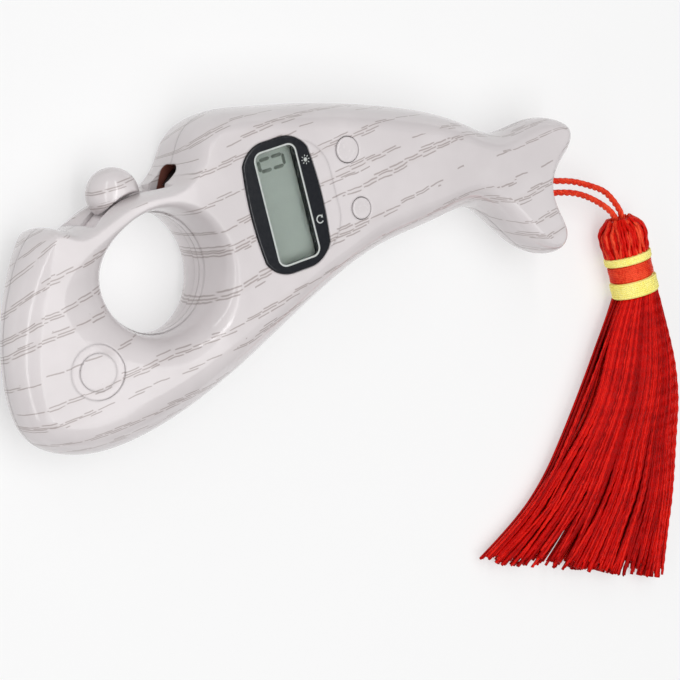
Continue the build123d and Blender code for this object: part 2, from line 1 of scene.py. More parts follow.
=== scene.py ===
import math
import random

import bpy
from mathutils import Matrix, Vector


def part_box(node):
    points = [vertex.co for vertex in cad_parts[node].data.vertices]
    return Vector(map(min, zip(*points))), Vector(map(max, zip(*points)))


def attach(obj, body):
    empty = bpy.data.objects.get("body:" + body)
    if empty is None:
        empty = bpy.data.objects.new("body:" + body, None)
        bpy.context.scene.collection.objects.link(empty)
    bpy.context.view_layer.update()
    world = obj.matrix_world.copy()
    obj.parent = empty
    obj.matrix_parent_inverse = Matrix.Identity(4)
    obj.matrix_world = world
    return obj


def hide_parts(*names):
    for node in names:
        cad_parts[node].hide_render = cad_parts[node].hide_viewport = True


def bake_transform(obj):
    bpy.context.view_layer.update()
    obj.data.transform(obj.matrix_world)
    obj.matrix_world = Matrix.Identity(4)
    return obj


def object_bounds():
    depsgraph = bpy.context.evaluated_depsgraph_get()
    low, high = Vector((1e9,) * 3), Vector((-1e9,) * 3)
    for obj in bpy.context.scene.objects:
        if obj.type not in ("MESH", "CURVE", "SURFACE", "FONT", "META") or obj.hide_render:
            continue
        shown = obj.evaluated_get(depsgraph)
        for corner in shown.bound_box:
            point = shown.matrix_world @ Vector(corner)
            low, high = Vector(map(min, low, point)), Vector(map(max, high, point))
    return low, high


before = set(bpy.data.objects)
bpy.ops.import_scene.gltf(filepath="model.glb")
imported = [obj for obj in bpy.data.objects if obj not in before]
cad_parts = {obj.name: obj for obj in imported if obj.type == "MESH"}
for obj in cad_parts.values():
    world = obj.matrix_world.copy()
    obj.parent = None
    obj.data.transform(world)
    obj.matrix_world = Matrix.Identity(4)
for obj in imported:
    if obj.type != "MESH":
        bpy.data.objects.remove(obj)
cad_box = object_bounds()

MM = 0.001
TABLE = cad_box[0].z

# The photograph's view: the body's X axis is turned up in it, and the camera stands to the left
PHOTO_TURN = math.radians(16.3)
VIEW_YAW = math.radians(33.0)
VIEW_PITCH = math.radians(3.0)
VIEW_DISTANCE = 480 * MM
VIEW_ASIDE = 31.95 * MM
VIEW_RAISE = -11.09 * MM
PHOTO_SIZE = 680
FOCAL_PIXELS = 2904
CAMERA_NEAR = 10 * MM

# Lights: degrees to the right of the camera and above it, width and height in m, and watts
LIGHTS = {
    "panel": (33, -8, 1.3, 1.5, 12.0),
    "strip_left": (-25, 7, 0.14, 2.6, 4.4),
    "strip_right": (21, 7, 0.14, 2.6, 6.6),
}
LIGHT_DISTANCE = 1.2
LIGHT_AIM = 45 * MM
SURROUND_LIGHT = 0.15
WHITE = (1, 1, 1, 1)

# Floor: how far it reaches in m, its clearance below the part, its own light and its two greys
FLOOR_REACH = 3.0
FLOOR_GAP = 0.02 * MM
FLOOR_GLOW = 0.5
FLOOR_GREYS = (0.4, 0.42)

# Cord: its route in mm from inside the tassel, round the pin in the tail and back into the tassel
CORD_DIAMETER = 1.2 * MM
CORD_PLIES = 3
CORD_LAY = 4.2 * MM
CORD_STEPS = 24
PLY_RADIUS = CORD_DIAMETER / 2 * 0.52
PLY_SIDES = 8
CORD_ROUTE = [
    (100.9, -40.5, -4.7), (101.6, -34.0, -4.3), (101.6, -27.0, -4.25), (101.75, -20.2, -4.3),
    (100.0, -17.5, -3.3), (97.5, -14.5, -2.2), (93.5, -12.3, -1.0), (89.3, -10.2, -0.3),
    (84.65, -8.85, 0), (80.15, -7.5, 0), (76.62, -6.39, 0), (75.89, -8.88, 0), (79.45, -9.85, 0),
    (84.1, -10.9, 0), (88.8, -12.2, -0.3), (92.7, -14.2, -1.2), (96.3, -16.7, -2.4),
    (99.0, -19.1, -3.5), (100.2, -21.1, -4.3), (100.1, -27.0, -4.3), (100.0, -33.5, -4.25),
]

# Yarns: steps along them, sides and lay of those on top, which are twisted, and of the plain ones below
YARN_RADIUS = 0.29 * MM
YARN_LAY = 4.4 * MM
YARN_LOBE = 0.22
YARN_SIDES = 6
TOP_YARN = (84, YARN_SIDES, YARN_LAY)
LOW_YARN = (42, 4, 0.0)

# Tassel's head: how its yarns stray, how full they stand and how far below the top they start
HEAD_YARNS = 54
HEAD_YARN_RADIUS = YARN_RADIUS * 1.05
HEAD_SEED = 7
HEAD_STEPS = 22
HEAD_SHIFT = 0.35
HEAD_LEAN = 0.035
HEAD_SWELL = (0.9, 0.96)
HEAD_DROP = 0.8 * MM
HEAD_WIDEST = 0.42
HEAD_TOP_WIDTH = 0.5
HEAD_DRAW_IN = 0.2
CORE_SIDES = 40
CORE_SWELL = 0.88
CORE_DROP = 1.2 * MM
CORE_FINISH = 1

# Binding: its threads' radii, the wrap's lap under the bands, and the winding's pitch in thread radii
BAND_THREAD = 0.22 * MM
WRAP_THREAD = 0.2 * MM
WRAP_LAP = 0.3 * MM
WINDING_PITCH = 1.75
WINDING_STEPS = 48
WINDING_SIDES = 6
WINDING_WANDER = 0.008
WINDING_RATE = 0.11
WINDING_JITTER = 0.003

# Skirt: the two edges of its fan in mm from the binding down, and half its height along the way
SKIRT_LEFT = [
    (96.7, -35.2), (91.2, -41.3), (85.5, -48.3), (78.9, -55.8),
    (72.4, -62.5), (64.5, -67.9), (54.2, -72.0),
]
SKIRT_RIGHT = [
    (105.1, -35.2), (105.9, -46.3), (105.2, -56.2), (102.7, -63.9),
    (99.2, -74.7), (96.2, -81.5), (92.9, -89.3),
]
SKIRT_HALF_HEIGHTS = [3.9, 3.8, 3.5, 3.2, 2.9, 2.6, 2.4]
SKIRT_STEPS = 12
SKIRT_YARNS = 300
SKIRT_SEED = 21
SKIRT_CROWN = 0.9
SKIRT_REST = YARN_RADIUS * 1.3

# How the skirt's yarns lie, in shares of its size. Its layers are the bottom, the top and the inside
LAYERS = ((-0.94, -1.0), (0.9, 0.97), (-0.8, 0.8))
TOP_LAYER = 1
CLUMPS = 34
CLUMP_CUT = (-0.03, 0.012)
YARN_CUT = (-0.014, 0.008)
YARN_SHIFT = 0.8
YARN_PULL = (0.1, 0.75)
YARN_DRIFT = 0.09
DRIFTING = 0.3
YARN_WAVE = (0.002, 0.012)
WAVE_RATE = 7
EDGE_YARNS = (0.02, 0.985)
EDGE_GAP = 0.065
EDGE_GAP_END = 0.75
YARN_FULLNESS = (0.85, 1.1)
NECK_FULLNESS = 0.6
NECK_END = 0.4

# Printed wood grain, in mm: lines along the body, each of short slanted strokes side by side
GRAIN_PITCH = 4.6
GRAIN_TILT = 0.11
GRAIN_SWAY = 6.0
SWAY_ALONG = 0.018
SWAY_ACROSS = 0.04
GRAIN_RIPPLE = 0.7
RIPPLE_SCALE = 0.28
GRAIN_START = 0.15
GRAIN_RANGE = 0.7
TINT_REACH = (0.15, 1.1)
TINT_CROWDS = (0.3, 0.6)
CROWD_ALONG = 0.045
CROWD_PER_ROW = 3.7
STROKE_PITCH = 0.46
STROKE_LENGTH = 3.4
STROKE_WIDTH = 0.155
STROKE_CORE = STROKE_WIDTH * 0.4
STROKE_SLANT = 0.16
STROKE_STRAY = 0.24
STROKE_SHIFT = 17.0
STROKE_RISE = (0.0, 0.08)
STROKE_FALL = (0.88, 0.99)
LANE_LOSS = 0.47
CROWD_LEVELS = (0.32, 0.62)
CROWD_LOSSES = (0.42, -0.2)
GRAIN_SEED = 1.0
SHIFT_SEED = 2.0
KEEP_SEED = 9.0

# The grain goes on down the body's sides, but is left off the finger ring's walls that face along Y
SIDE_RISE = 7.1
SIDE_SLOPE = -0.8
RING_EDGE = (17.0, 22.0)
WALL_FACING = (0.7, 0.9)

# Shell's finish: shares of the print's tint and ink, the parting line in mm from its plane, rounded edges
TINT_SHARE = 0.12
INK_SHARE = 0.57
SLIDER_INK_SHARE = 0.75
SEAM_SHARE = 0.3
SEAM_EDGE = (0.05, 0.12)
SEAM_DEPTH = 0.05
SHELL_WAVE = 0.03
SHELL_RELIEF = 0.4
EDGE_RADIUS = 0.7
EDGE_SAMPLES = 6

# Slot in the shoulder, in mm about the finger hole: its inner end is brown, as the slider there is
SLOT_INNER = 12.6
SLOT_MIDDLE = 16.9
SLOT_HALF_HEIGHT = 1.1
SLOT_CORNER = 1.62
BROWN_FROM = math.radians(20)
BROWN_BELOW = math.radians(60)
SLIDER_BROWN_BELOW = math.radians(68)
SOFT_TURN = 0.01

# Count leaf: radius in mm and angle in degrees about the finger hole of its foot and its tip
LEAF_FOOT = (18.4, 8.0)
LEAF_TIP = (16.6, 41.2)
LEAF_THICKNESS = 0.25 * MM
LEAF_FOOT_WIDTH = 1.0 * MM
LEAF_FOOT_CORNERS = 2
LEAF_STEPS = 24

# Figure on the display: its size, and the place of its middle from the panel's middle and far end
DIGIT_TALL = 4.9 * MM
DIGIT_WIDE = 1.95 * MM
DIGIT_STROKE = 0.6 * MM
DIGIT_ASIDE = 0.15 * MM
DIGIT_FROM_END = 3.55 * MM

# Print on the bezel: the line round the window, and two signs placed from the window's middle
PRINT_HEIGHT = 0.03 * MM
PRINT_SINK = 0.01 * MM
LINE_WIDTH = 7.9 * MM
LINE_LENGTH = 19.15 * MM
LINE_STROKE = 0.32 * MM
LINE_CORNER = 1.3 * MM
SIGN_ASIDE = 5.55 * MM
LAMP_ALONG = 6.3 * MM
LAMP_RADIUS = 0.36 * MM
LAMP_SIDES = 24
LAMP_RAYS = 8
RAY_REACH = 0.68 * MM
RAY_LENGTH = 0.34 * MM
RAY_WIDTH = 0.15 * MM
ARROW_ALONG = -4.1 * MM
ARROW_RADIUS = 0.64 * MM
ARROW_HALF = 0.11 * MM
ARROW_START = 0.9
ARROW_SWEEP = 4.7
ARROW_STEPS = 22
ARROW_TIP = 0.75
CORNER_STEPS = 8


def photo_axes():
    """Directions to the photograph's right, up and towards its camera."""
    turn = Matrix.Rotation(-PHOTO_TURN, 3, "Z")
    level = math.cos(VIEW_PITCH)
    back = Vector((-math.sin(VIEW_YAW) * level, math.sin(VIEW_PITCH), math.cos(VIEW_YAW) * level))
    right = Vector((0, 1, 0)).cross(back).normalized()
    return turn @ right, turn @ back.cross(right), turn @ back


RIGHT, UP, BACK = photo_axes()


def make_camera():
    """The camera at the photograph's viewing angle."""
    data = bpy.data.cameras.new("camera")
    data.lens = FOCAL_PIXELS / PHOTO_SIZE * data.sensor_width
    data.clip_start = CAMERA_NEAR
    camera = bpy.data.objects.new("camera", data)
    place = BACK * VIEW_DISTANCE + RIGHT * VIEW_ASIDE + UP * VIEW_RAISE
    camera.matrix_world = Matrix.Translation(place) @ Matrix((RIGHT, UP, BACK)).transposed().to_4x4()
    bpy.context.scene.collection.objects.link(camera)
    bpy.context.scene.camera = camera


class Mesh:
    """A mesh while it is being put together: its corners, its faces and the finish of each face."""

    def __init__(self):
        self.corners = []
        self.faces = []
        self.finishes = []

    def face(self, corners, finish=0):
        self.faces.append(tuple(corners))
        self.finishes.append(finish)

    def ring(self, points):
        """Adds corners and returns their numbers."""
        start = len(self.corners)
        self.corners += points
        return range(start, len(self.corners))

    def band(self, one, two, finish=0):
        """Faces between two closed rings of corners."""
        count = len(one)
        for k in range(count):
            after = (k + 1) % count
            self.face((one[k], one[after], two[after], two[k]), finish)

    def skin(self, rings, finish=0):
        """A closed skin over a row of rings."""
        for one, two in zip(rings, rings[1:]):
            self.band(one, two, finish)
        self.face(reversed(rings[0]), finish)
        self.face(rings[-1], finish)

    def tube(self, points, radii, sides, finish=0, lay=0.0):
        """A closed tube along points, shaped as a twisted yarn where it has a lay."""
        gone = 0.0
        last = points[0]
        rings = []
        for point, radius, across in zip(points, radii, frames_along(points)):
            gone += (point - last).length
            last = point
            twist = math.tau * gone / lay if lay else None
            rings.append(self.ring([point + spoke * radius for spoke in spokes(across, sides, twist)]))
        self.skin(rings, finish)

    def piece(self, name, slot, *materials, body="case"):
        """Makes it a smooth-shaded piece that rides on the case, or on nothing yet."""
        mesh = bpy.data.meshes.new(name)
        mesh.from_pydata(self.corners, [], self.faces)
        mesh.polygons.foreach_set("use_smooth", [True] * len(self.faces))
        for material in materials:
            mesh.materials.append(material)
        mesh.polygons.foreach_set("material_index", self.finishes)
        piece = bpy.data.objects.new(name, mesh)
        bpy.context.scene.collection.objects.link(piece)
        if body:
            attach(piece, body)
        return piece


def frames_along(points):
    """Two directions across a line at each of its points, carried along without twist."""
    count = len(points)
    across = None
    frames = []
    for i in range(count):
        along = (points[min(i + 1, count - 1)] - points[max(i - 1, 0)]).normalized()
        if across is None:
            across = along.orthogonal()
        across = (across - along * across.dot(along)).normalized()
        frames.append((across, along.cross(across)))
    return frames


def spokes(across, sides, twist):
    """Directions round a line: all of length one, or in a yarn's two lobes at an angle of twist."""
    one, two = across
    directions = []
    for side in range(sides):
        turn = math.tau * side / sides
        lobe = 1 if twist is None else 1 + YARN_LOBE * math.cos(2 * (turn - twist))
        directions.append((one * math.cos(turn) + two * math.sin(turn)) * lobe)
    return directions


def spline_points(control, steps):
    """Points on the smooth spline that has these control points, given in mm."""
    data = bpy.data.curves.new("route", "CURVE")
    data.dimensions = "3D"
    data.resolution_u = steps
    spline = data.splines.new("NURBS")
    spline.points.add(len(control) - 1)
    for spot, point in zip(spline.points, control):
        spot.co = (*(c * MM for c in point), 1)
    spline.order_u = 3
    spline.use_endpoint_u = True
    line = bpy.data.objects.new("route", data)
    mesh = bpy.data.meshes.new_from_object(line)
    points = [v.co.copy() for v in mesh.vertices]
    bpy.data.objects.remove(line)
    bpy.data.meshes.remove(mesh)
    return points


def at_share(points, share):
    """The place at a share of the way along points."""
    spot = min(max(share, 0), 1) * (len(points) - 1)
    i = min(int(spot), len(points) - 2)
    return points[i].lerp(points[i + 1], spot - i)


def oval(centre, half_width, half_height, share):
    """A place on an oval across the tassel's axis, at a share of the way round."""
    turn = math.tau * share
    return centre + Vector((half_width * math.cos(turn), 0, half_height * math.sin(turn)))


class Signal:
    """A number that a material works out; sums with it make more of the material's nodes."""

    def __init__(self, graph, socket):
        self.graph = graph
        self.socket = socket

    def __add__(self, other):
        return self.graph.math("ADD", self, other)

    def __sub__(self, other):
        return self.graph.math("SUBTRACT", self, other)

    def __mul__(self, other):
        return self.graph.math("MULTIPLY", self, other)

    def __truediv__(self, other):
        return self.graph.math("DIVIDE", self, other)

    def whole(self):
        return self.graph.math("FLOOR", self)

    def part(self):
        return self.graph.math("FRACT", self)

    def size(self):
        return self.graph.math("ABSOLUTE", self)

    def past(self, level):
        """How far it is above a level, or nought below it."""
        return self.graph.math("MAXIMUM", self - level, 0.0)

    def above(self, level):
        return self.graph.math("GREATER_THAN", self, level)

    def below(self, level):
        return self.graph.math("LESS_THAN", self, level)

    def fade(self, start, end, first=0.0, last=1.0):
        """Goes smoothly from the first value to the last one between two levels."""
        inputs = {0: self, 1: start, 2: end, 3: first, 4: last}
        node = self.graph.node("ShaderNodeMapRange", inputs, interpolation_type="SMOOTHSTEP")
        return Signal(self.graph, node.outputs[0])

    def drop(self, start, end):
        """Goes smoothly from one to nought between two levels."""
        return self.fade(start, end, 1.0, 0.0)


class Graph:
    """A material that is built up from nodes; its place and its x, y and z are in mm."""

    def __init__(self, name, roughness, **settings):
        self.material = bpy.data.materials.new(name)
        self.material.use_nodes = True
        self.tree = self.material.node_tree
        self.shader = self.tree.nodes["Principled BSDF"]
        self.roughness = roughness
        self.shader.inputs["Roughness"].default_value = roughness
        for socket, value in settings.items():
            self.shader.inputs[socket.replace("_", " ")].default_value = value
        spot = self.tree.nodes.new("ShaderNodeTexCoord").outputs
        inputs = {0: spot["Object"], "Scale": 1 / MM}
        self.place = self.node("ShaderNodeVectorMath", inputs, operation="SCALE").outputs[0]
        self.x, self.y, self.z = self.split(self.place)
        self.facing = self.split(spot["Normal"])

    def node(self, kind, inputs, **settings):
        node = self.tree.nodes.new(kind)
        for name, value in settings.items():
            setattr(node, name, value)
        for key, value in inputs.items():
            value = value.socket if isinstance(value, Signal) else value
            if isinstance(value, bpy.types.NodeSocket):
                self.tree.links.new(value, node.inputs[key])
            else:
                node.inputs[key].default_value = value
        return node

    def split(self, vector):
        outputs = self.node("ShaderNodeSeparateXYZ", {0: vector}).outputs
        return [Signal(self, socket) for socket in outputs]

    def math(self, operation, *values):
        node = self.node("ShaderNodeMath", dict(enumerate(values)), operation=operation)
        return Signal(self, node.outputs[0])

    def vector(self, *values):
        return self.node("ShaderNodeCombineXYZ", dict(enumerate(values))).outputs[0]

    def radius(self):
        """Distance from the finger hole's axis."""
        return self.math("SQRT", self.x * self.x + self.y * self.y)

    def turn(self):
        """Angle about the finger hole's axis."""
        return self.math("ARCTAN2", self.y, self.x)

    def before(self, angle):
        """One up to an angle about the finger hole's axis, and nought past it."""
        return self.turn().drop(angle - SOFT_TURN, angle + SOFT_TURN)

    def noise(self, vector, scale, detail=2.0):
        node = self.node("ShaderNodeTexNoise", {"Vector": vector, "Scale": scale, "Detail": detail})
        return Signal(self, node.outputs["Fac"])

    def cloud(self, scale):
        """Soft patches."""
        return self.noise(self.place, scale, detail=3.0).fade(0.3, 0.7)

    def uneven(self, scale):
        """The roughness, up to a fifth more or less in patches."""
        patches = self.noise(self.place, scale)
        return patches.fade(0.2, 0.8, self.roughness * 0.8, self.roughness * 1.2)

    def chance(self, *values):
        """A random number for each set of whole values."""
        inputs = {"Vector": self.vector(*values)}
        node = self.node("ShaderNodeTexWhiteNoise", inputs, noise_dimensions="3D")
        return Signal(self, node.outputs["Value"])

    def blend(self, share, one, two):
        return self.node("ShaderNodeMix", {0: share, 6: one, 7: two}, data_type="RGBA").outputs[2]

    def finish(self, colour, rough=None, relief=None, strength=0.0, edge=0.0):
        """Joins colour, roughness, relief in mm and the rounding of edges to the surface."""
        self.tree.links.new(colour, self.shader.inputs["Base Color"])
        if rough:
            self.tree.links.new(rough.socket, self.shader.inputs["Roughness"])
        if relief:
            bump = self.node("ShaderNodeBump", {"Height": relief, "Strength": strength, "Distance": MM})
            if edge:
                soft = self.node("ShaderNodeBevel", {"Radius": edge * MM}, samples=EDGE_SAMPLES)
                self.tree.links.new(soft.outputs[0], bump.inputs["Normal"])
            self.tree.links.new(bump.outputs[0], self.shader.inputs["Normal"])
        return self.material


def linear(value):
    """An eight-bit display value as a share of full light."""
    share = value / 255
    return share / 12.92 if share <= 0.04045 else ((share + 0.055) / 1.055) ** 2.4


def shade(red, green, blue):
    """A colour given in eight-bit display values."""
    return linear(red), linear(green), linear(blue), 1.0


def darker(colour, share):
    """The same colour with a share of its light."""
    return tuple(c * share for c in colour[:3]) + (1.0,)


# Colours that the materials below share or blend
SHELL_SHADES = (shade(210, 204, 205), shade(217, 211, 212))
SLIDER_WHITE = shade(222, 214, 216)
GRAIN_TINT = shade(184, 170, 166)
INK = shade(134, 120, 115)
SLIDER_INK = shade(140, 123, 117)
SEAM_GREY = shade(196, 186, 186)
BROWN = shade(112, 68, 58)
# The bezel's black, also painted as shade inside the display opening
BEZEL_BLACK = shade(26, 28, 33)
PANE_CLEAR = (0.97, 0.99, 0.98, 1)
GUIDE_CLEAR = (0.95, 0.97, 0.95, 1)
SPRING = shade(214, 206, 188)


def grain(g):
    """Two masks of the printed grain: its strokes, and the soft tint along its lines."""
    sway = g.noise(g.vector(g.x * SWAY_ALONG, g.y * SWAY_ACROSS), scale=1.0, detail=1.0) - 0.5
    wrap = g.facing[1] * (g.z * SIDE_SLOPE + SIDE_RISE) * g.radius().fade(*RING_EDGE)
    across = (g.y - g.x * GRAIN_TILT + wrap + sway * GRAIN_SWAY) / GRAIN_PITCH
    row = across.whole()
    ripple = (g.noise(g.place, RIPPLE_SCALE) - 0.5) * GRAIN_RIPPLE
    place = g.chance(row, GRAIN_SEED) * GRAIN_RANGE
    away = (across.part() - GRAIN_START - place) * GRAIN_PITCH + ripple
    crowd = g.noise(g.vector(g.x * CROWD_ALONG, row * CROWD_PER_ROW), scale=1.0, detail=1.0)
    bare = g.facing[1].size().fade(*WALL_FACING) * g.radius().drop(*RING_EDGE)
    strokes = grain_strokes(g, row, away, crowd) * bare.drop(0.0, 1.0)
    return strokes, away.size().drop(*TINT_REACH) * crowd.fade(*TINT_CROWDS)


def grain_strokes(g, row, away, crowd):
    """Mask of the strokes of each row, given the distance from its line and how crowded it is there."""
    lane = (away / STROKE_PITCH + 0.5).whole()
    along = g.x / STROKE_LENGTH + g.chance(row, lane, SHIFT_SEED) * STROKE_SHIFT
    stroke = along.whole()
    run = along.part()
    slant = (run - 0.5) * STROKE_SLANT + (g.chance(row, stroke, lane) - 0.5) * STROKE_STRAY
    line = (away - lane * STROKE_PITCH + slant).size().drop(STROKE_CORE, STROKE_WIDTH)
    ends = run.fade(*STROKE_RISE) * run.drop(*STROKE_FALL)
    least = lane.size() * LANE_LOSS + crowd.fade(*CROWD_LEVELS, *CROWD_LOSSES)
    return line * ends * g.chance(stroke, row, lane + KEEP_SEED).above(least)


def printed_shell():
    """Glossy off-white plastic, printed wood grain of fine broken strokes, painted shade in the display
    opening.
    """
    g = Graph("printed_shell", 0.15, Specular_IOR_Level=0.25, Coat_Weight=0.5, Coat_Roughness=0.05)
    strokes, tint = grain(g)
    seam = g.z.size().drop(*SEAM_EDGE)
    colour = g.blend(g.cloud(scale=0.09), *SHELL_SHADES)
    colour = g.blend(tint * TINT_SHARE, colour, GRAIN_TINT)
    colour = g.blend(strokes * INK_SHARE, colour, INK)
    colour = g.blend(seam * SEAM_SHARE, colour, SEAM_GREY)
    colour = g.blend(brown_share(g), colour, BROWN)
    # Painted shade: the shell's walls inside the display opening are coloured bezel black
    colour = g.blend(window_painted_shade(g), colour, BEZEL_BLACK)
    relief = g.noise(g.place, scale=0.2) * SHELL_WAVE - seam * SEAM_DEPTH
    return g.finish(colour, g.uneven(scale=0.8), relief, SHELL_RELIEF, EDGE_RADIUS)


def window_painted_shade(g):
    """Mask of the shell's walls in the opening under the display's window, painted bezel black as shade.
    """
    low, high = (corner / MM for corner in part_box("display_window"))
    middle = (low + high) / 2
    half = (high - low) / 2
    beside = (g.x - middle.x).size().below(half.x)
    return beside * (g.y - middle.y).size().below(half.y) * g.z.above(0.0)


def brown_share(g):
    """Mask of the brown inner end of the slot in the shoulder."""
    out = g.radius().past(SLOT_MIDDLE)
    up = g.z.size().past(SLOT_HALF_HEIGHT)
    inside = g.radius().above(SLOT_INNER) * (out * out + up * up).below(SLOT_CORNER ** 2)
    return inside * g.before(BROWN_BELOW) * g.turn().above(BROWN_FROM)


def printed_slider():
    """The slider: printed as the shell where the channel shows it, brown plastic at its inner end."""
    g = Graph("slider_brown", 0.35)
    strokes = grain(g)[0]
    inked = g.blend(strokes * SLIDER_INK_SHARE, SLIDER_WHITE, SLIDER_INK)
    brown = g.blend(g.cloud(scale=0.35), darker(BROWN, 0.9), BROWN)
    colour = g.blend(g.before(SLIDER_BROWN_BELOW), inked, brown)
    return g.finish(colour, g.uneven(scale=1.5), g.noise(g.place, scale=6.0), strength=0.02)


def plastic(name, colour, roughness):
    """Moulded plastic with a faint unevenness of colour and surface."""
    g = Graph(name, roughness)
    clouded = g.blend(g.cloud(scale=0.35), darker(colour, 0.95), colour)
    return g.finish(clouded, g.uneven(scale=1.5), g.noise(g.place, scale=3.0), strength=0.01)


def clear_plastic(name, colour, roughness):
    """Clear plastic with the faint waviness of a moulding."""
    g = Graph(name, roughness, Transmission_Weight=1.0, IOR=1.12)
    tint = g.blend(g.noise(g.place, scale=0.2), colour, darker(colour, 0.985))
    return g.finish(tint, relief=g.noise(g.place, scale=0.4), strength=0.01)


def metal(name, colour, roughness):
    """Plated metal with a fine drawn grain."""
    g = Graph(name, roughness, Metallic=1.0)
    drawn = g.noise(g.vector(g.x * 12.0, g.y, g.z * 2.0), scale=1.0)
    rough = drawn.fade(0.2, 0.8, roughness * 0.8, roughness * 1.25)
    return g.finish(g.blend(drawn, darker(colour, 0.8), colour), rough, drawn, strength=0.04)


def silk(name, dark, light, roughness):
    """Shiny floss: fine fibres along the tassel, and patches that are darker and paler."""
    g = Graph(name, roughness, Specular_IOR_Level=0.09)
    fibre = g.noise(g.vector(g.x * 4.5, g.y * 1.2, g.z * 4.5), scale=1.0)
    patch = g.noise(g.place, scale=0.3)
    colour = g.blend((fibre * 0.5 + patch * 0.5).fade(0.34, 0.66), dark, light)
    rough = fibre.fade(0.3, 0.7, roughness * 0.8, roughness * 1.3)
    return g.finish(colour, rough, fibre, strength=0.12)


def add_cord(material):
    """The cord: three plies twisted about its route."""
    route = spline_points(CORD_ROUTE, CORD_STEPS)
    offset = CORD_DIAMETER / 2 - PLY_RADIUS
    lengths = [0.0]
    for one, two in zip(route, route[1:]):
        lengths.append(lengths[-1] + (two - one).length)
    mesh = Mesh()
    for number in range(CORD_PLIES):
        line = []
        for point, length, (one, two) in zip(route, lengths, frames_along(route)):
            turn = math.tau * (number / CORD_PLIES + length / CORD_LAY)
            line.append(point + (one * math.cos(turn) + two * math.sin(turn)) * offset)
        mesh.tube(line, [PLY_RADIUS] * len(line), PLY_SIDES)
    cord = mesh.piece("cord", "cord_red", material)
    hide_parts("tassel_cord")
    return cord, route, lengths[-1]


def winding(low, high, thread, rng):
    """Points along a thread that is wound round just inside a box, a little unevenly."""
    middle = (low + high) / 2
    half_width = (high.x - low.x) / 2 - thread
    half_height = (high.z - low.z) / 2 - thread
    length = high.y - low.y - 2 * thread
    count = WINDING_STEPS * math.ceil(length / (WINDING_PITCH * thread))
    points = []
    for i in range(count + 1):
        jitter = rng.uniform(-WINDING_JITTER, WINDING_JITTER)
        wander = 1 + WINDING_WANDER * math.sin(i * WINDING_RATE) + jitter
        centre = Vector((middle.x, high.y - thread - length * i / count, middle.z))
        points.append(oval(centre, half_width * wander, half_height * wander, i / WINDING_STEPS))
    return points


def add_binding(name, node, thread, slot, material, lap=0.0):
    """A band of the binding: thread wound over a core, which can lap into its neighbours."""
    low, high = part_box(node)
    mesh = Mesh()
    points = winding(low, high, thread, random.Random(name))
    mesh.tube(points, [thread] * len(points), WINDING_SIDES)
    middle = (low + high) / 2
    half_width = (high.x - low.x) / 2 - thread - lap
    half_height = (high.z - low.z) / 2 - thread - lap
    shares = [k / WINDING_STEPS for k in range(WINDING_STEPS)]
    rings = []
    for y in (high.y - thread / 2 + lap, low.y + thread / 2 - lap):
        centre = Vector((middle.x, y, middle.z))
        rings.append(mesh.ring([oval(centre, half_width, half_height, share) for share in shares]))
    mesh.skin(rings)
    piece = mesh.piece(name, slot, material)
    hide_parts(node)
    return piece


def head_width_share(share):
    """Width of the tassel's head at a share of the way down, against its widest."""
    rise = math.sin(math.pi / 2 * min(share / HEAD_WIDEST, 1))
    draw_in = max(share - HEAD_WIDEST, 0) ** 1.5
    return HEAD_TOP_WIDTH + (1 - HEAD_TOP_WIDTH) * rise - HEAD_DRAW_IN * draw_in


def head_place(box, share, turn, swell, drop):
    """A place on the tassel's head, at a share of the way down and of the way round."""
    low, high = box
    middle = (low + high) / 2
    top = high.y - drop
    size = head_width_share(share) * swell
    half_width = (high.x - low.x) / 2 - YARN_RADIUS
    half_height = (high.z - low.z) / 2 - YARN_RADIUS
    centre = Vector((middle.x, top + share * (low.y - top), middle.z))
    return oval(centre, half_width * size, half_height * size, turn)


def add_head(*reds):
    """The tassel's head: yarns folded over the cord's end and drawn in at the binding."""
    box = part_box("tassel_head")
    shares = [step / HEAD_STEPS for step in range(HEAD_STEPS + 1)]
    rng = random.Random(HEAD_SEED)
    mesh = Mesh()
    for number in range(HEAD_YARNS):
        turn = (number + rng.uniform(-HEAD_SHIFT, HEAD_SHIFT)) / HEAD_YARNS
        lean = rng.uniform(-HEAD_LEAN, HEAD_LEAN)
        swell = rng.uniform(*HEAD_SWELL)
        drop = HEAD_DROP * (1 + rng.random() ** 2)
        finish = rng.randrange(len(reds))
        points = [head_place(box, s, turn + lean * math.sin(s * math.pi), swell, drop) for s in shares]
        mesh.tube(points, [HEAD_YARN_RADIUS] * len(points), YARN_SIDES, finish, YARN_LAY)
    rings = []
    turns = [k / CORE_SIDES for k in range(CORE_SIDES)]
    for share in shares:
        rings.append(mesh.ring([head_place(box, share, turn, CORE_SWELL, CORE_DROP) for turn in turns]))
    mesh.skin(rings, CORE_FINISH)
    piece = mesh.piece("tassel_bulb", "silk_red", *reds)
    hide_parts("tassel_head")
    return piece


